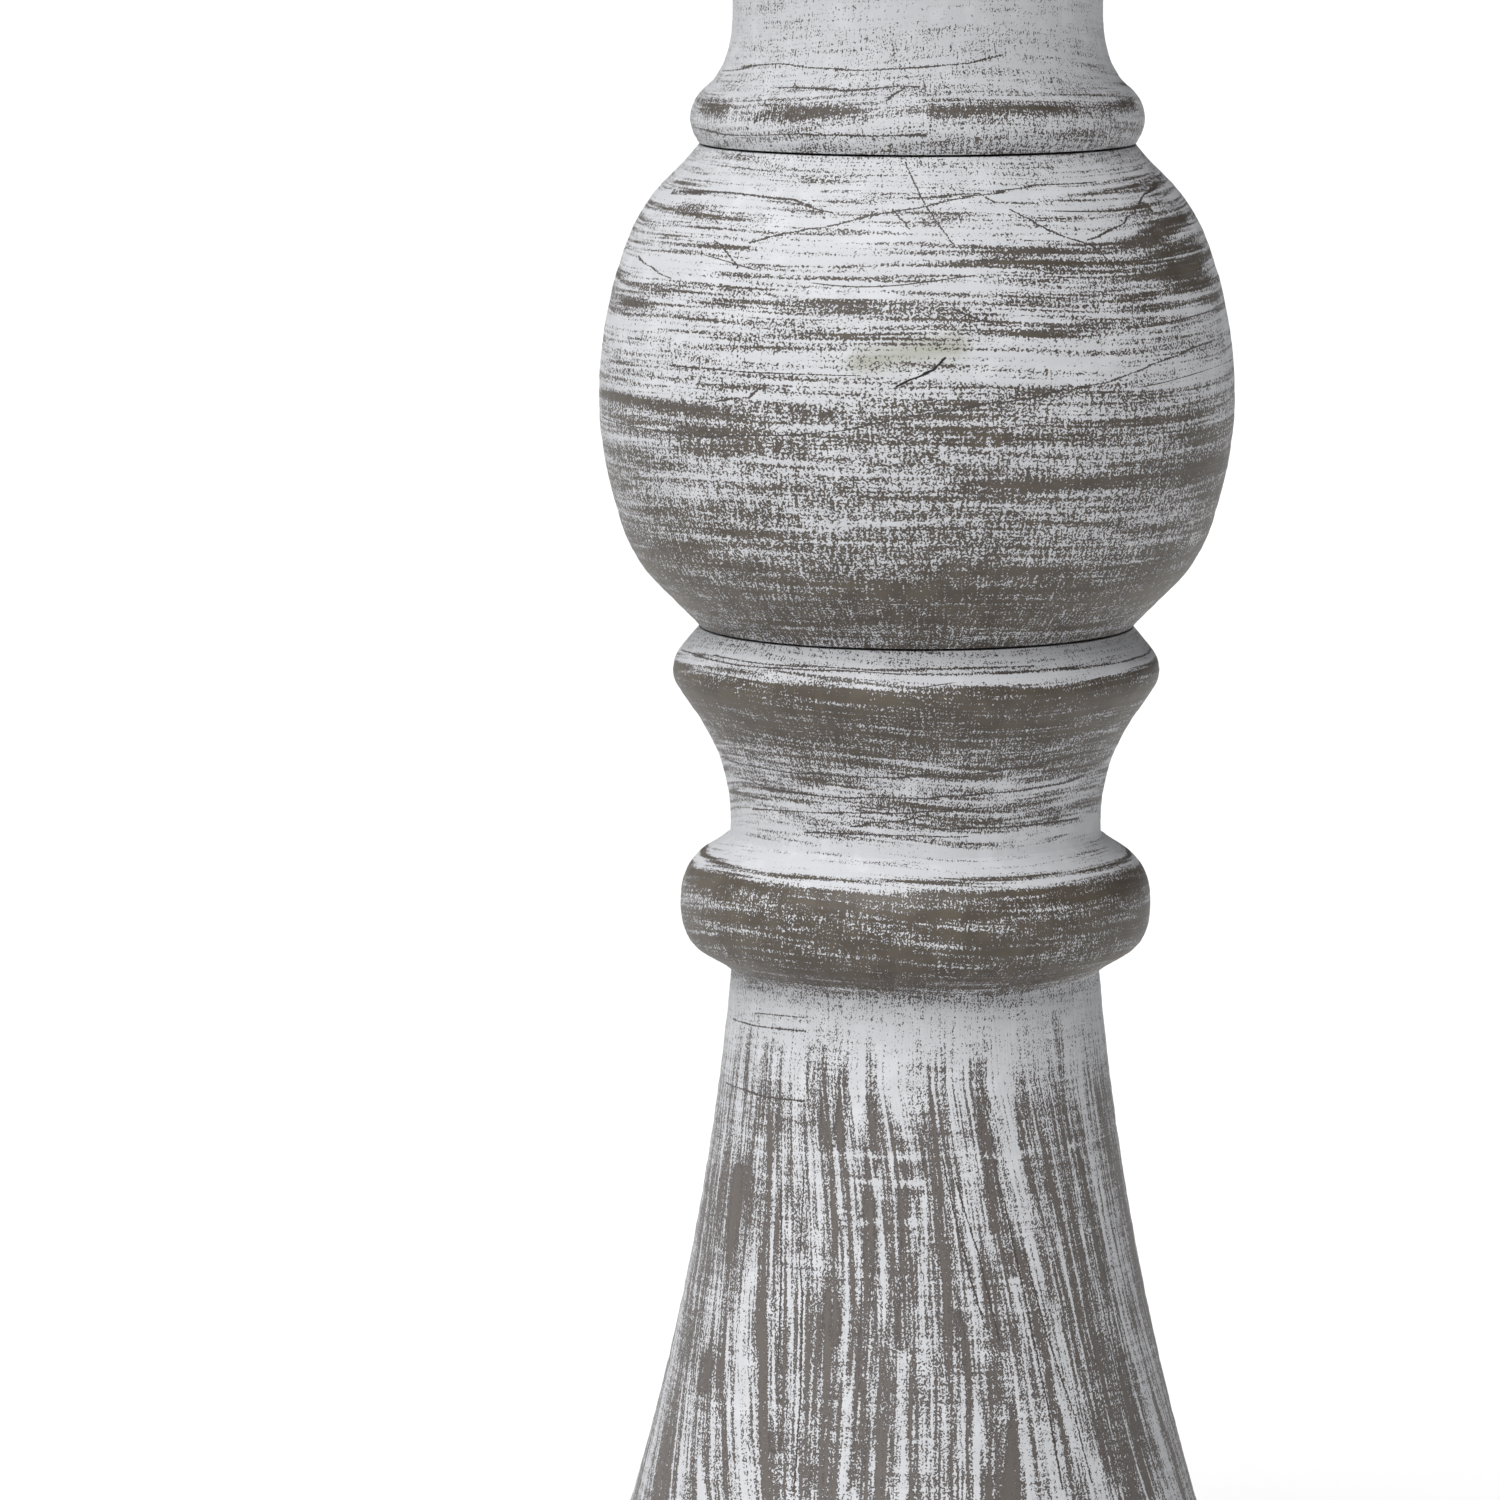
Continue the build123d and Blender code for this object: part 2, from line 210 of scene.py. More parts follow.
def hand_turned(deep, waves=14):
    """Relief of a lathe's tool marks and the softer unevenness of sanding by hand: waves along
    the outline, 0.9 to 9 mm long, that sway and fade a few times on their way round."""
    length = np.geomspace(0.9, 9, waves) * MM
    height = deep * (length / length.max()) ** 0.5 * rng.uniform(0.4, 1, waves)
    phase = rng.uniform(0, 2 * math.pi, (2, waves))
    drift = rng.integers(1, 4, waves)

    def relief(angle, along, z):
        total = 0
        for w, h, p, q, d in zip(length, height, *phase, drift):
            sway = 0.6 * np.sin(d * angle + q)
            fade = 0.7 + 0.3 * np.sin(angle * d + p)
            total = total + h * np.sin(2 * math.pi * along / w + p + sway) * fade
        return total / math.sqrt(waves) - deep / 2

    return relief


def thread(pitch, depth, low, high):
    """Relief of a screw thread cut between two heights."""

    def relief(angle, along, z):
        turn = (z / pitch - angle / (2 * math.pi)) % 1
        groove = 1 - np.abs(2 * turn - 1)
        return -depth * groove * ((z > low) & (z < high))

    return relief


# ---- material graphs --------------------------------------------------------
NOISE_SPREAD = {0: 0.1325, 1: 0.0988, 2: 0.0868, 3: 0.0814}  # standard deviation, by detail
OFF_GRID = (0.62, 0.47, 0.35)  # turns the noise, so that its grid doesn't line up with the piece


def srgb(r, g, b):
    """A colour as seen on a screen, 0 to 255, as the linear one that shaders take."""

    def linear(c):
        c /= 255
        return c / 12.92 if c <= 0.04045 else ((c + 0.055) / 1.055) ** 2.4

    return (linear(r), linear(g), linear(b), 1.0)


class Graph:
    """A material written as expressions: most methods add a node and return its output socket."""

    def __init__(self, name):
        self.material = bpy.data.materials.new(name)
        self.material.use_nodes = True
        self.tree = self.material.node_tree
        self.tree.nodes.clear()
        self.out = self.tree.nodes.new("ShaderNodeOutputMaterial")

    def node(self, kind, inputs, **settings):
        """Adds a node. Each input is a socket to link from or a value."""
        node = self.tree.nodes.new("ShaderNode" + kind)
        for key, value in settings.items():
            setattr(node, key, value)
        for key, value in inputs.items():
            if isinstance(value, bpy.types.NodeSocket):
                self.tree.links.new(value, node.inputs[key])
            else:
                node.inputs[key].default_value = value
        return node

    def place(self):
        """Where a point is on the object, as one vector and as its three parts."""
        place = self.node("TexCoord", {}).outputs["Object"]
        return place, *self.node("SeparateXYZ", {0: place}).outputs

    def math(self, operation, a, b=0.0, c=0.0):
        return self.node("Math", {0: a, 1: b, 2: c}, operation=operation).outputs[0]

    def times(self, a, b):
        return self.math("MULTIPLY", a, b)

    def add(self, *terms):
        total = terms[0]
        for term in terms[1:]:
            total = self.math("ADD", total, term)
        return total

    def step(self, value, low, high):
        """0 up to low, 1 from high on, smooth between. low may be the larger of the two."""
        inputs = {0: value, 1: low, 2: high}
        return self.node("MapRange", inputs, interpolation_type="SMOOTHSTEP", clamp=False).outputs[0]

    # the Mix node has one pair of inputs for numbers, 2 and 3, and one for colours, 6 and 7
    def mix(self, share, a, b):
        return self.node("Mix", {0: share, 2: a, 3: b}, data_type="FLOAT").outputs[0]

    def colour(self, share, a, b):
        return self.node("Mix", {0: share, 6: a, 7: b}, data_type="RGBA").outputs[2]

    def vector(self, x, y, z):
        return self.node("CombineXYZ", {0: x, 1: y, 2: z}).outputs[0]

    def vector_math(self, operation, a, b, output=0):
        return self.node("VectorMath", {0: a, 1: b}, operation=operation).outputs[output]

    def noise(self, vector, across, along, detail=0):
        """Noise about 0 with a standard deviation of 1. across is in waves a radian round the
        piece, along in waves a metre along it."""
        skewed = {"Vector": vector, "Scale": (across, across, along), "Rotation": OFF_GRID}
        inputs = {"Vector": self.node("Mapping", skewed).outputs[0], "Scale": 1.0, "Detail": detail}
        raw = self.node("TexNoise", inputs).outputs[0]
        spread = NOISE_SPREAD[detail]
        return self.math("MULTIPLY_ADD", raw, 1 / spread, -0.5 / spread)

    def blend(self, *parts):
        """Noises weighted and added, with a standard deviation of 1 again."""
        whole = math.hypot(*(weight for weight, _ in parts))
        return self.add(*(self.times(noise, weight / whole) for weight, noise in parts))

    def graph_of(self, value, table):
        """A value read off straight lines between the (position, value) pairs of a table."""
        first, last = table[0][0], table[-1][0]
        span = last - first
        floor = min(level for _, level in table)
        reach = max(level for _, level in table) - floor
        share = self.math("MULTIPLY_ADD", value, 1 / span, -first / span)
        made = self.node("ValToRGB", {0: share})
        stops = made.color_ramp.elements
        while len(stops) < len(table):
            stops.new(1.0)
        for stop, (position, level) in zip(stops, table):
            grey = (level - floor) / reach
            stop.position = (position - first) / span
            stop.color = (grey, grey, grey, 1)
        return self.math("MULTIPLY_ADD", made.outputs[0], reach, floor)

    def distance(self, point, lines):
        """How far a point is from the nearest of some lines, each a list of corners."""
        nearest = None
        for line in lines:
            for start, end in zip(line[:-1], line[1:]):
                a, b = Vector((*start, 0)), Vector((*end, 0))
                run = (b - a) / (b - a).length_squared
                offset = self.vector_math("SUBTRACT", point, a)
                share = self.vector_math("DOT_PRODUCT", offset, run, 1)
                share = self.math("MAXIMUM", self.math("MINIMUM", share, 1.0), 0.0)
                foot = self.node("VectorMath", {0: b - a, "Scale": share}, operation="SCALE").outputs[0]
                far = self.vector_math("DISTANCE", offset, foot, 1)
                nearest = far if nearest is None else self.math("MINIMUM", nearest, far)
        return nearest

    def surface(self, height, **inputs):
        """Ends the graph in a Principled shader. height is in metres."""
        bump = self.node("Bump", {"Height": height, "Distance": 1.0, "Strength": 1.0}).outputs[0]
        named = {key.replace("_", " "): value for key, value in inputs.items()}
        shader = self.node("BsdfPrincipled", {"Normal": bump, **named}).outputs[0]
        self.tree.links.new(shader, self.out.inputs[0])
        return self.material


# ---- whitewashed wood -------------------------------------------------------
WHITE = srgb(185, 186, 189)
WHITE_THIN = srgb(145, 144, 145)  # beside the brown
WHITE_THICK = srgb(191, 192, 195)
BROWN = srgb(82, 75, 65)
BROWN_DARK = srgb(70, 63, 54)
BROWN_GREY = srgb(93, 87, 83)  # where the brush went down the piece
EDGE = srgb(75, 70, 69)  # greyer brown, beside and between the white
BARE = srgb(166, 148, 124)  # the wood's own colour, on the faces where the pieces meet
BARE_DARK = srgb(148, 129, 105)
LINE = srgb(66, 61, 58)
CRACK = srgb(22, 18, 15)
SMUDGE = srgb(157, 158, 149)

# The marks that change how much white is left: their width in millimetres and how far they lift
# the white, in standard deviations of the brushwork. Below 0 they wear it off.
MARK_WIDTH_AND_LIFT = {"rubbed": (1.4, -1.25), "worn": (12.0, -0.85), "brushed": (0.35, 1.2)}
MARK_RAGGED = 0.5
SCORED_LIFT = -3.0

# Steps: nothing at the first value and all at the second.
WHITE_FROM = (-0.10, 0.12)  # of the white's level over the brown
WHITE_FULL = (0.0, 0.6)
BESIDE_WHITE = (-1.1, -0.25)
PAINT_EDGE = (-0.3, 0.3)
TONES = (-1.5, 1.5)  # of the slow change of tone
THICK_TONES = (0.0, 2.0)
LINE_EDGE = (0.17, 0.07)  # of the distance from a mark, in millimetres
CRACK_EDGE = (0.24, 0.10)
SMUDGE_EDGE = (3.2, 0.0)
SCORE_EDGE = (0.012, 0.006)  # of the distance from a scored line, in spacings of those lines
SWEPT = (0.9, 1.2)  # of the broad sweeps: scored lines show only in a strong one
STREAKED = (0.6, 0.3)  # of the share of specks: scored lines show only in streaky paint
UNEVEN = (-1.6, 0.8)  # of a slow noise: marks fade in places
COATED = (0.8, 1.0)
NEARLY_ALL = 0.997  # the largest share of white that a level is worked out for

SCORES_A_MM = 0.12  # scored lines in a millimetre of height
DOWN_FADE = (-2, 1)  # from down_below, in millimetres: where strokes down give way to strokes round
DOWN_TURN = 14  # how far under down_below the strokes down begin to drift round
BRUSH_RELIEF = 0.010  # in millimetres
PAINT_RELIEF = 0.04
WOOD_ROUGH, PAINT_ROUGH = 0.5, 0.8


def strokes_round(g, ring, speck):
    """The brush went round the piece: long streaks that rise and fall a little, with toothed edges.
    Returns the broad sweeps and the streaks alone, and the streaky and the specky brushwork."""
    sway = g.times(g.noise(ring, 0.7, 5), 1.2 * MM)
    swaying = g.vector_math("ADD", ring, g.vector(0.0, 0.0, sway))
    sweep = g.noise(swaying, 0.8, 230)
    streak = g.noise(swaying, 1.7, 800, 1)
    hair = g.noise(swaying, 3.2, 2400)
    bristle = g.noise(ring, 115, 480)
    streaky = g.blend((0.34, sweep), (0.50, streak), (0.50, hair), (0.10, bristle), (0.50, speck))
    specky = g.blend((1.0, speck), (0.50, bristle), (0.30, streak), (0.30, hair))
    return sweep, streak, streaky, specky


def strokes_down(g, ring, fall, speck):
    """The brush went down the piece, and drifted round it as it went. fall is in metres."""
    lean = g.math("MULTIPLY_ADD", g.noise(ring, 1.2, 9), -1.6, -3.4)
    turn = g.times(g.math("MAXIMUM", fall, 0.0), lean)
    inputs = {"Vector": ring, "Angle": turn}
    turned = g.node("VectorRotate", inputs, rotation_type="Z_AXIS").outputs[0]
    board = g.noise(turned, 9.5, 13)
    grain = g.noise(turned, 30, 28, 1)
    fibre = g.noise(turned, 85, 110)
    cross = g.noise(ring, 3.0, 1700)
    return g.blend((0.29, board), (0.44, grain), (0.48, fibre), (0.16, cross), (0.38, speck))


def scores_round(g, ring, height, sweep):
    """Fine lines scored round the piece, where the brush left a broad sweep of white."""
    bend = g.times(g.noise(ring, 0.9, 12), 0.16)
    off_line = g.math("PINGPONG", g.add(g.times(height, SCORES_A_MM), bend), 0.5)
    return g.times(g.step(off_line, *SCORE_EDGE), g.step(sweep, *SWEPT))


def level_of_white(g, height, coat):
    """The level that the brushwork has to pass to be white, at each height of a coat."""
    levels = []
    for at, share, specked in coat:
        spread = math.hypot(1 - specked, specked)
        share = min(max(share, 1 - NEARLY_ALL), NEARLY_ALL)
        levels.append((at, spread * NormalDist().inv_cdf(1 - share)))
    return g.graph_of(height, levels)


def stained(g, tone, over, scored, upper):
    """Brown wood: greyer beside the white, and below upper, where the brush went down the piece."""
    brown = g.colour(g.step(tone, *TONES), BROWN_DARK, BROWN)
    if upper is not None:
        brown = g.colour(upper, BROWN_GREY, brown)
    brown = g.colour(g.step(over, *BESIDE_WHITE), brown, EDGE)
    return g.colour(scored, brown, LINE)


def painted(g, tone, over):
    """The white, thinner at its edges."""
    paint = g.colour(g.step(over, *WHITE_FULL), WHITE_THIN, WHITE)
    return g.colour(g.step(tone, *THICK_TONES), paint, WHITE_THICK)


def whitewash(name, coat, radius, marks=None, down_below=None, seed=0.0):
    """White brushed thinly over brown stained wood. The brush went round the piece, but down it
    below the height down_below. coat is, at each height, how much white is left and how much of
    the brushwork is specks and not streaks. marks is a dictionary of lines, by kind, and radius is
    that of the surface where they lie. Heights and the radius are in millimetres."""
    g = Graph(name)
    marks = marks or {}
    _, x, y, z = g.place()
    r = g.math("MAXIMUM", g.math("SQRT", g.add(g.times(x, x), g.times(y, y))), 1e-4)
    along = g.node("Attribute", {}, attribute_name="along").outputs["Fac"]
    along = g.math("ADD", along, seed)
    ring = g.vector(g.math("DIVIDE", x, r), g.math("DIVIDE", y, r), along)
    height = g.times(z, 1 / MM)

    speck = g.noise(ring, 150, 3500, 1)
    sweep, streak, streaky, specky = strokes_round(g, ring, speck)
    scored = scores_round(g, ring, height, sweep)
    upper = None
    if down_below:
        low, high = DOWN_FADE
        upper = g.step(height, down_below + low, down_below + high)
        fall = g.math("SUBTRACT", (down_below - DOWN_TURN) * MM, z)
        streaky = g.mix(upper, strokes_down(g, ring, fall, speck), streaky)
        scored = g.times(scored, upper)
    specks = g.graph_of(height, [(at, share) for at, _, share in coat])
    brush = g.mix(specks, streaky, specky)
    # a coat table may lower the white to paint shade, as under the lower column's ring
    whole = g.math("SUBTRACT", brush, level_of_white(g, height, coat))

    # the marks lie on the surface rolled out flat, in millimetres
    angle = g.math("ARCTAN2", x, g.times(y, -1.0))
    rolled = g.vector(g.times(angle, radius), g.add(height, g.times(streak, 0.12)), 0.0)

    def from_marks(kind):
        """The distance from the nearest mark of a kind, in millimetres."""
        flat = [[(math.radians(a) * radius, h) for a, h in line] for line in marks[kind]]
        return g.distance(rolled, flat)

    over = whole
    uneven = g.step(g.noise(ring, 2.6, 50), *UNEVEN)
    for kind, (width, lift) in MARK_WIDTH_AND_LIFT.items():
        if kind in marks:
            ragged = g.times(streaky, -MARK_RAGGED * math.sqrt(width))
            in_mark = g.step(g.add(from_marks(kind), ragged), width, 0.0)
            over = g.math("MULTIPLY_ADD", g.times(in_mark, uneven), lift, over)
    scored = g.times(scored, g.step(specks, *STREAKED))
    if "lines" in marks:
        off_line = g.add(from_marks("lines"), g.times(speck, 0.04))
        scored = g.math("MAXIMUM", scored, g.step(off_line, *LINE_EDGE))
    over = g.math("MULTIPLY_ADD", scored, SCORED_LIFT, over)

    tone = g.noise(ring, 9, 250, 1)
    paint = painted(g, tone, over)
    if "smudges" in marks:
        off_smudge = g.add(from_marks("smudges"), g.times(streaky, 0.3))
        paint = g.colour(g.step(off_smudge, *SMUDGE_EDGE), paint, SMUDGE)
    white = g.step(over, *WHITE_FROM)
    colour = g.colour(white, stained(g, tone, over, scored, upper), paint)
    if "cracks" in marks:
        colour = g.colour(g.step(from_marks("cracks"), *CRACK_EDGE), colour, CRACK)
    coated = g.node("Attribute", {}, attribute_name="coated").outputs["Fac"]
    bare = g.colour(g.step(tone, *TONES), BARE_DARK, BARE)
    colour = g.colour(g.step(coated, *COATED), bare, colour)

    relief = g.add(g.times(streaky, BRUSH_RELIEF), g.times(g.step(whole, *PAINT_EDGE), PAINT_RELIEF))
    roughness = g.mix(white, WOOD_ROUGH, PAINT_ROUGH)
    return g.surface(g.times(relief, MM), Base_Color=colour, Roughness=roughness, Specular_IOR_Level=0.4)


# Height, share of white left and share of specks in the pattern, up each piece.
NECK_COAT = [
    (265.9, 0.7, 0.9), (267, 0.72, 0.95), (268.5, 0.70, 0.9), (269.5, 0.80, 0.8), (271, 0.80, 0.7),
    (272.5, 0.70, 0.5), (274, 0.88, 0.5), (276, 0.95, 0.8), (285, 0.96, 0.95), (300, 0.96, 0.8),
    (308, 0.9, 0.4), (310.5, 0.95, 0.5), (313, 0.6, 0.2), (317, 0.35, 0.3), (321, 0.7, 0.8),
]
BALL_COAT = [
    (194.2, 0.30, 0.95), (197, 0.20, 0.95), (199.5, 0.09, 0.95), (203, 0.12, 0.9), (206, 0.20, 0.9),
    (209.5, 0.34, 0.85), (212.5, 0.46, 0.8), (218, 0.50, 0.75), (222, 0.46, 0.7), (227, 0.56, 0.6),
    (230.5, 0.68, 0.5), (233.5, 0.80, 0.4), (236.5, 0.90, 0.4), (242, 0.68, 0.25), (245.5, 0.58, 0.2),
    (248, 0.70, 0.2), (251, 0.80, 0.2), (254.5, 0.84, 0.2), (257.5, 0.86, 0.2), (260.5, 0.89, 0.2),
    (263.5, 0.95, 0.5), (265.6, 0.8, 0.9),
]
# Lower column: from 140 to 144.7 mm, right under the ring, the white thins out as painted shade under the
# ring.
COLUMN_COAT_AND_SHADE = [
    (41, 0.45, 0.2), (80, 0.51, 0.2), (110, 0.48, 0.2), (120, 0.50, 0.2), (125.5, 0.56, 0.2),
    (128.5, 0.75, 0.25), (131.5, 0.84, 0.35), (137.5, 0.97, 0.7), (140.0, 0.92, 1.0), (141.5, 0.7, 1.0),
    (143.0, 0.3, 1.0), (144.7, 0.05, 0.8), (150, 0.08, 0.6), (155, 0.13, 0.7), (158.4, 0.03, 0.5),
    (158.8, 0.97, 0.2), (159.3, 0.97, 0.2), (159.6, 0.03, 0.3), (160.0, 0.03, 0.3), (160.3, 0.96, 0.2),
    (165.5, 0.95, 0.3), (168, 0.68, 0.35), (174, 0.69, 0.4), (176.5, 0.32, 0.6), (179.5, 0.18, 0.7),
    (185, 0.03, 0.5), (188.2, 0.02, 0.6), (189.4, 0.75, 0.2), (190.4, 0.98, 0.3), (192.3, 0.95, 0.8),
    (193.9, 0.85, 1.0),
]
FOOT_COAT = [
    (2, 0.01, 0.5), (6, 0.06, 0.4), (12, 0.3, 0.2), (17, 0.5, 0.2), (19, 0.9, 0.3), (24, 0.88, 0.4),
    (30, 0.6, 0.3), (33.5, 0.85, 0.8), (34.5, 0.1, 0.5), (37.5, 0.1, 0.4), (39.5, 0.7, 0.2), (41, 0.9, 0.8),
]
PLATE_COAT = [
    (321, 0.3, 0.9), (326, 0.1, 0.5), (332, 0.1, 0.5), (333.8, 0.6, 0.8), (335, 0.05, 0.3),
    (341, 0.2, 0.3), (346, 0.5, 0.2), (349, 0.85, 0.3), (350, 0.9, 0.6),
]

# Marks on each piece, by kind, as lines of (degrees from the front, height in millimetres).
NECK_MARKS = {
    "rubbed": [
        [(-80, 272.2), (-40, 272.1), (-14, 272)],
        [(-80, 271.2), (-45, 271.2), (-25, 271.4)],
        [(4, 272.3), (75, 272)],
    ],
    "lines": [
        [(-80, 276.8), (-45, 278.4), (-15, 277.8), (0, 278.2), (15, 279), (26, 280)],
        [(-42, 274.9), (-20, 275), (-4, 275.6), (0, 275.4)],
        [(-8, 274), (-3, 275.5)],
        [(-80, 268.4), (-50, 268.2), (-15, 268.9), (2, 269)],
    ],
}
BALL_MARKS = {
    "rubbed": [
        [(-80, 242), (-45, 245), (-10, 246), (30, 246.5), (70, 249)],
        [(-15, 250.5), (5, 250.5), (22, 252.5), (45, 253), (75, 256)],
        [(0, 257), (30, 257.2), (58, 257.6)],
        [(-34, 259.6), (-20, 258)],
        [(-80, 229.5), (-30, 229), (0, 230.5), (22, 232.5), (50, 234), (75, 234)],
        [(-50, 225.5), (-22, 227), (2, 229)],
        [(-75, 220.5), (-55, 222.5), (-20, 225)],
        [(5, 219.3), (30, 219), (75, 219.6)],
        [(10, 240.5), (32, 241.5), (60, 242.5)],
        [(48, 236), (75, 238)],
    ],
    "worn": [
        [(58, 253), (80, 250)], [(60, 247), (80, 245)], [(48, 237), (80, 236)],
        [(62, 228), (85, 226)], [(64, 217), (85, 215)], [(64, 208), (85, 208)],
    ],
    "lines": [
        [(-3, 265), (1, 260), (7, 253.8)],
        [(-35, 253.6), (-12, 257.3), (10, 260.2), (28, 261.6), (46, 261.7)],
        [(-70, 259.4), (-45, 260), (-28, 259.7), (-18, 257.8)],
        [(20, 258.5), (27, 255.5), (33, 254), (38, 252.5), (41, 249.5)],
        [(36, 254), (46, 255.5), (60, 259.6), (75, 260.6)],
        [(-44, 253.5), (-40, 252), (-36.5, 250)],
        [(-70, 250), (-62, 249), (-54, 247.5)],
        [(-38, 230.8), (-31, 231.7), (-27, 233.4)],
        [(-20, 226.5), (0, 229.6), (14, 231.3), (34, 233.4), (48, 236), (70, 238)],
        [(-80, 226), (-40, 225.4), (-20, 226.5)],
        [(-50, 235.3), (-30, 235), (-10, 235.4)],
        [(7, 244.6), (13, 242.6)],
        [(-5, 258.4), (-1.5, 256)],
        [(-2, 260), (14, 260.8), (17, 259.4)],
    ],
    "cracks": [[(-3.5, 233.6), (-1.2, 234.6), (1.2, 235.6), (3, 236.1), (5, 237.8)]],
    "smudges": [[(-10, 237.2), (-2, 238.6), (7, 239.4)]],
}
COLUMN_MARKS = {
    "rubbed": [
        [(-60, 136), (-60, 126)], [(-51, 134), (-50, 120)], [(-44, 133), (-42, 122)],
        [(-14.5, 139), (-12.5, 130), (-12, 104), (-12, 72)],
        [(-28, 134), (-27, 126), (-24.5, 112), (-22, 95), (-21, 72)],
        [(-25.5, 124), (-22, 108), (-19.5, 92)],
        [(-33, 134), (-32, 124), (-31, 105)],
        [(-22, 133), (-21.5, 120)],
        [(-6, 128), (-4, 120), (-2, 108), (-3, 92)],
        [(1, 132), (2, 124), (0, 112), (-1, 98)],
        [(18, 135), (20, 126), (22, 114), (26, 102)],
        [(29, 136), (32, 128), (33, 114), (36, 103), (41, 92), (46, 78), (48, 70)],
        [(48, 138), (48.5, 126), (53, 114), (56, 100), (58, 86), (59, 72)],
        [(66, 134), (70, 120), (72, 104)],
        [(-58, 114), (-55, 98), (-58, 82)],
        [(-38, 113), (-35, 98), (-32, 76)],
        [(10, 96), (14, 84), (16, 72)],
    ],
    "worn": [[(-62, 62), (-59, 112)]],
    "brushed": [
        [(-75, 119.8), (-40, 119.2), (0, 118.8), (75, 118.6)],
        [(-20, 115.1), (3, 115.1)],
        [(-20, 109.1), (18, 109.3)],
    ],
    "lines": [
        [(-32, 116), (-31, 103), (-29, 97), (-27, 84), (-26, 70)],
        [(-40, 116), (-36, 100), (-34, 88)],
        [(8, 118), (12, 107), (17, 95)],
        [(11, 116), (17, 104), (21, 92)],
        [(25, 112), (29, 97), (32, 82), (33, 70)],
        [(30, 104), (34, 92), (39, 80), (41, 70)],
        [(-58, 137.5), (-36, 138)], [(-75, 135.5), (-50, 136), (-35, 136)],
        [(-75, 126), (-48, 125.6), (-34, 126)],
        [(-60, 172.8), (-52, 171.7), (-20, 171.6), (10, 172), (30, 172.4), (60, 173.4)],
        [(-20, 167.3), (-8, 168), (4, 169.2)], [(-1, 170), (0, 167.6)],
        [(-80, 174.9), (-20, 174.8), (20, 175.5), (50, 176.6)],
        [(-60, 168.2), (-40, 169), (-15, 169.4), (20, 169.9)],
        [(-36, 165.6), (-15, 166), (16, 166)],
        [(6, 167), (30, 166.9), (60, 166.8)],
        [(-85, 190.7), (-10, 190.9), (85, 190.7)], [(-60, 191.4), (0, 191.3), (30, 191.5)],
    ],
}

TURNED_DEEP = 0.10 * MM
# how far from the axis the outside begins, in millimetres, and the finish
wooden = {
    "foot": (16, dict(coat=FOOT_COAT, radius=60)),
    "lower_column": (20, dict(coat=COLUMN_COAT_AND_SHADE, radius=32, marks=COLUMN_MARKS, down_below=143)),
    "ball": (21, dict(coat=BALL_COAT, radius=44, marks=BALL_MARKS)),
    "neck": (21, dict(coat=NECK_COAT, radius=30, marks=NECK_MARKS)),
    "candle_plate": (12.5, dict(coat=PLATE_COAT, radius=50)),
}
SEED_STEP = 0.37  # moves the noise along, so that no two pieces share it
for i, (node, (fine_from, finish)) in enumerate(wooden.items()):
    piece = spun(node, fine_from * MM, hand_turned(TURNED_DEEP))
    piece.data.materials.append(whitewash(node + "_wash", seed=i * SEED_STEP, **finish))


# ---- metal, and the felt ----------------------------------------------------
def metal(name, colour, dark, roughness, metallic=1.0, grain=0.02):
    """A worked metal: fine turning lines, a little dirt and uneven polish."""
    g = Graph(name)
    place, x, y, z = g.place()
    r = g.math("SQRT", g.add(g.times(x, x), g.times(y, y)))
    lines = g.noise(g.vector(r, 0.0, z), 3000, 3000, 2)
    blotch = g.noise(place, 180, 180, 3)
    shade = g.colour(g.step(blotch, -1.5, 2.0), colour, dark)
    rough = g.math("MULTIPLY_ADD", blotch, 0.03, roughness)
    relief = g.times(g.add(lines, blotch), 0.1 * grain * MM)
    return g.surface(relief, Base_Color=shade, Roughness=rough, Metallic=metallic)


def felt(name):
    """Pressed fibres: tufts under a fine fuzz."""
    g = Graph(name)
    place, *_ = g.place()
    fuzz = g.noise(place, 1400, 1400, 3)
    tuft = g.noise(place, 350, 350, 2)
    colour = g.colour(g.step(fuzz, -2.0, 2.0), srgb(48, 45, 42), srgb(92, 87, 81))
    relief = g.times(g.add(fuzz, tuft), 0.012 * MM)
    return g.surface(relief, Base_Color=colour, Roughness=0.95, Sheen_Weight=0.4)


STEEL = metal("zinc_steel", srgb(176, 178, 182), srgb(140, 142, 146), 0.38)
BRASS = metal("machined_brass", srgb(196, 160, 96), srgb(160, 124, 70), 0.33)
IRON = metal("black_iron", srgb(38, 36, 35), srgb(24, 23, 22), 0.5, metallic=0.0, grain=0.05)
FELT = felt("felt")

M8_PITCH, M8_DEPTH = 1.25 * MM, 0.6 * MM
M6_PITCH, M6_DEPTH = 1.0 * MM, 0.5 * MM
PLAIN_END = 1 * MM  # a thread stops this far short of each end
PAN_THICK = 1 * MM
for node in ("column_stud", "ball_stud"):
    low, high = (corner.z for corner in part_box(node))
    cut = thread(M8_PITCH, M8_DEPTH, low + PLAIN_END, high - PLAIN_END)
    piece = spun(node, 3.9 * MM, cut, step=0.16 * MM, segments=64)
    piece.data.materials.append(STEEL)

shank_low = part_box("pricket")[0].z
collar_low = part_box("drip_pan")[0].z + PAN_THICK
cut = thread(M6_PITCH, M6_DEPTH, shank_low + PLAIN_END, collar_low - PLAIN_END)
piece = spun("pricket", 1.5 * MM, cut, step=0.2 * MM, segments=64)
piece.data.materials.append(IRON)

piece = spun("drip_pan", 3.0 * MM, step=0.5 * MM, segments=192)
piece.data.materials.append(IRON)

finishes = {"steel": STEEL, "brass": BRASS, "dark_iron": IRON, "felt": FELT}
slot_of_node = {s["node"]: s["material_slot"] for s in frame["record"]["subparts"]}
for name, node in nodes.items():
    if not node.hide_render:
        node.data.materials.clear()
        node.data.materials.append(finishes[slot_of_node[name]])


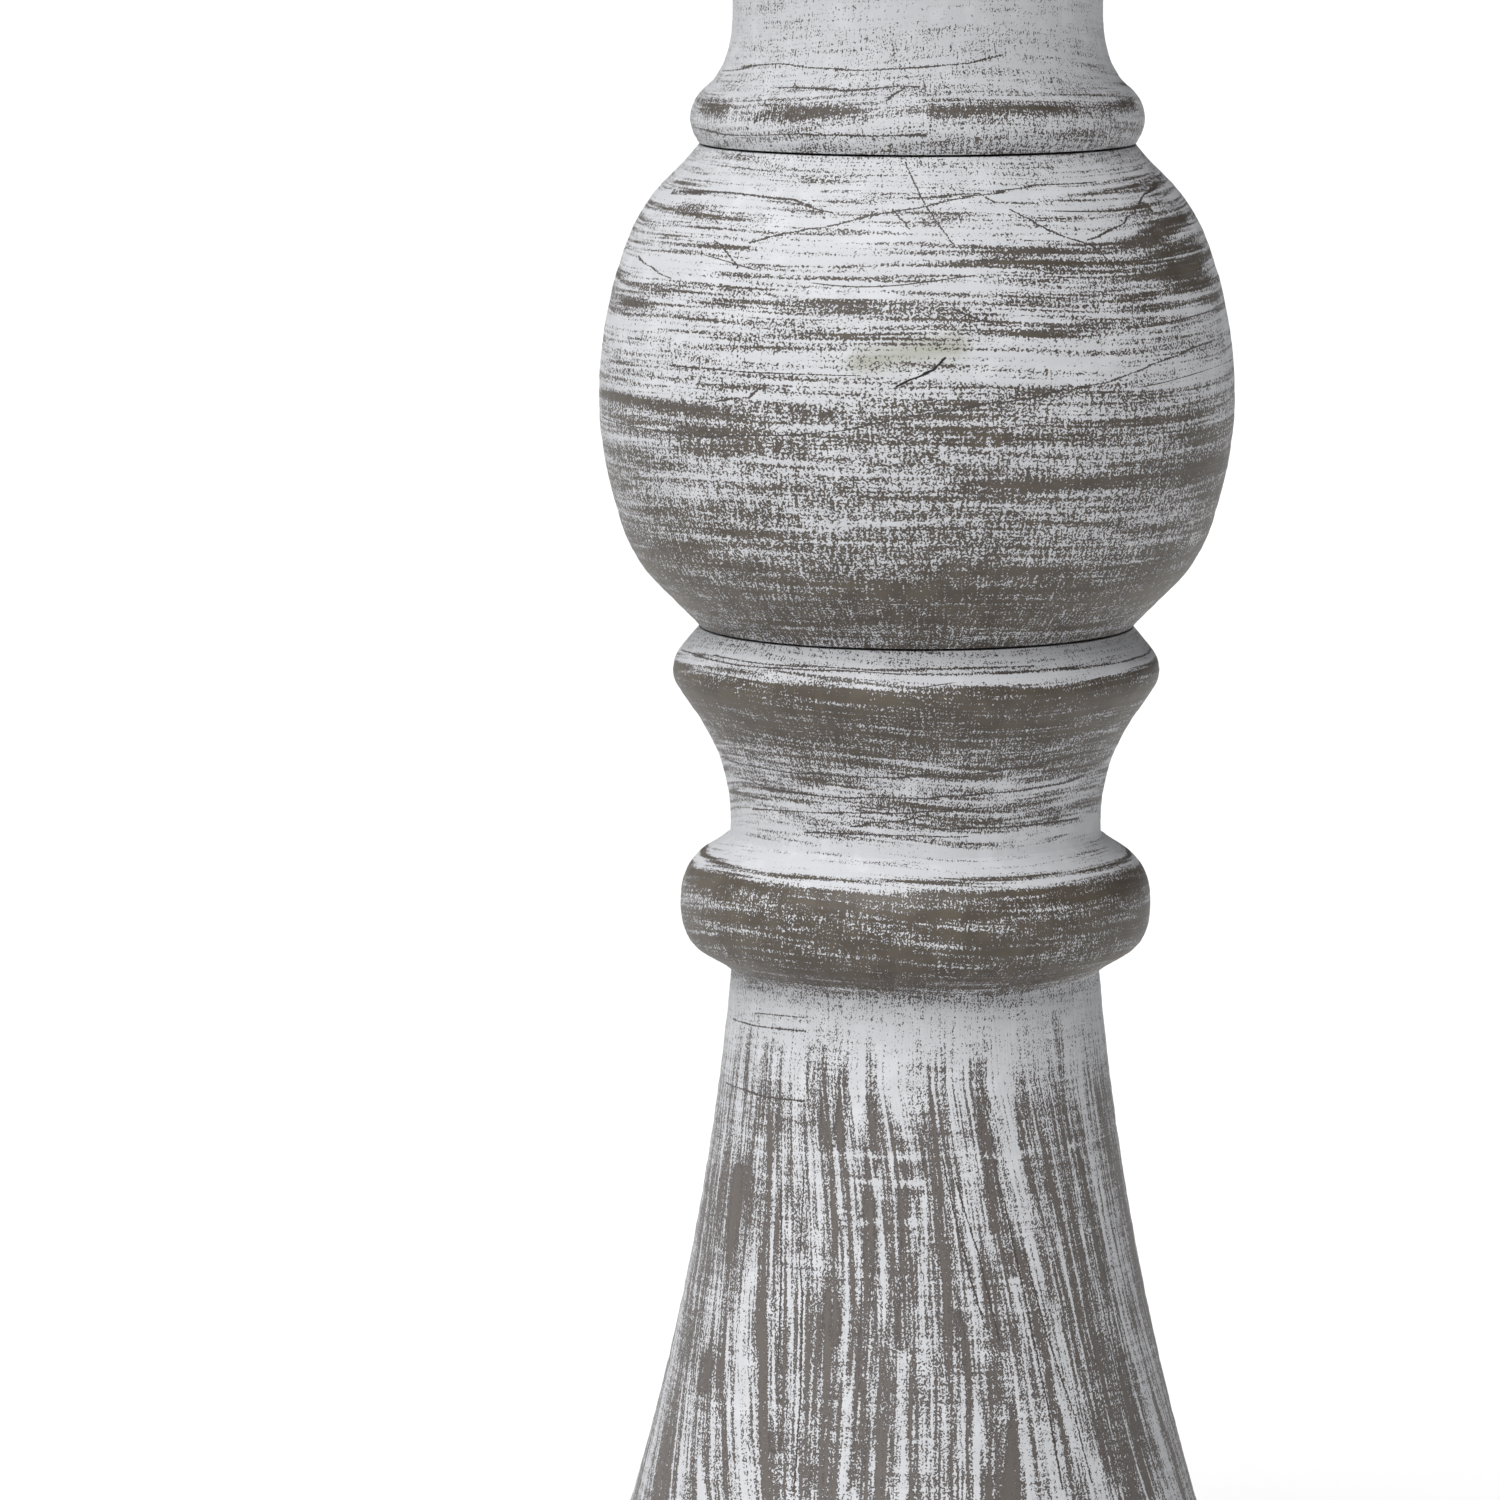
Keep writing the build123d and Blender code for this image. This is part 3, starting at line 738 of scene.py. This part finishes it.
# ---- floor, light and camera ------------------------------------------------
FLOOR_R = 30.0
FLOOR_SIDES = 64
FLOOR_WHITE = (0.99, 0.99, 0.99, 1)
floor_mesh = bpy.data.meshes.new("floor")
turns = np.arange(FLOOR_SIDES) * 2 * math.pi / FLOOR_SIDES
rim = [(FLOOR_R * math.cos(a), FLOOR_R * math.sin(a), 0) for a in turns]
floor_mesh.from_pydata(rim, [], [range(FLOOR_SIDES)])
floor = bpy.data.objects.new("floor", floor_mesh)
bpy.context.scene.collection.objects.link(floor)
paper = Graph("paper")
tooth = paper.noise(paper.place()[0], 60, 60, 3)
tooth = paper.times(tooth, 0.005 * MM)
floor_mesh.materials.append(paper.surface(tooth, Base_Color=FLOOR_WHITE, Roughness=0.9))
floor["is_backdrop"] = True


def toward(azimuth, elevation):
    """A unit vector from the object: azimuth 0 is the front, positive to the right."""
    a, e = math.radians(azimuth), math.radians(elevation)
    return Vector((math.sin(a) * math.cos(e), -math.cos(a) * math.cos(e), math.sin(e)))


# A dim room with a bright wall far to the left, and one large soft lamp at the left front. Behind
# the object the camera sees white paper, whichever way it looks.
WALL_FROM, WALL_TO = 0.2, -0.9  # sideways parts of the directions where the wall begins and is full
ROOM_GLOW, WALL_GLOW = 0.08, 0.7
world = bpy.data.worlds.new("studio")
world.use_nodes = True
tree = world.node_tree
sky = tree.nodes["Background"]
sky.inputs[0].default_value = (1.0, 1.0, 1.0, 1)
sight = tree.nodes.new("ShaderNodeTexCoord")
parts = tree.nodes.new("ShaderNodeSeparateXYZ")
wall = tree.nodes.new("ShaderNodeMapRange")
wall.interpolation_type = "SMOOTHSTEP"
for socket, value in zip(wall.inputs[1:5], (WALL_FROM, WALL_TO, ROOM_GLOW, WALL_GLOW)):
    socket.default_value = value
tree.links.new(sight.outputs["Generated"], parts.inputs[0])
tree.links.new(parts.outputs["X"], wall.inputs[0])
seen = tree.nodes.new("ShaderNodeLightPath")
glow = tree.nodes.new("ShaderNodeMath")
glow.operation = "MAXIMUM"
tree.links.new(wall.outputs[0], glow.inputs[0])
tree.links.new(seen.outputs["Is Camera Ray"], glow.inputs[1])
tree.links.new(glow.outputs[0], sky.inputs[1])
bpy.context.scene.world = world

KEY_STRENGTH = 3.5
KEY_SPREAD = math.radians(50)
KEY_FROM = toward(-22, 54)
key = bpy.data.objects.new("key", bpy.data.lights.new("key", "SUN"))
key.data.energy = KEY_STRENGTH
key.data.angle = KEY_SPREAD
key.rotation_euler = (-KEY_FROM).to_track_quat("-Z", "Y").to_euler()
bpy.context.scene.collection.objects.link(key)

# The view: a long lens a little above the middle of the object, with its axis right of centre.
LENS = 196.8
SENSOR = 36
DISTANCE = 1226.8 * MM
LOOK_DOWN = 7.6  # degrees
AIM_HEIGHT = 175 * MM
AXIS_RIGHT = 24.8 * MM  # how far the turning axis stands right of the frame's centre
camera = bpy.data.objects.new("camera", bpy.data.cameras.new("camera"))
camera.data.lens = LENS
camera.data.sensor_width = SENSOR
camera.location = Vector((0, 0, AIM_HEIGHT)) + DISTANCE * toward(0, LOOK_DOWN)
aim = Vector((-AXIS_RIGHT, 0, AIM_HEIGHT)) - camera.location
camera.rotation_euler = aim.to_track_quat("-Z", "Y").to_euler()
camera.data.clip_start, camera.data.clip_end = 0.05, 100
bpy.context.scene.collection.objects.link(camera)
bpy.context.scene.camera = camera
bpy.context.scene.view_settings.view_transform = "Standard"

low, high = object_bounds()
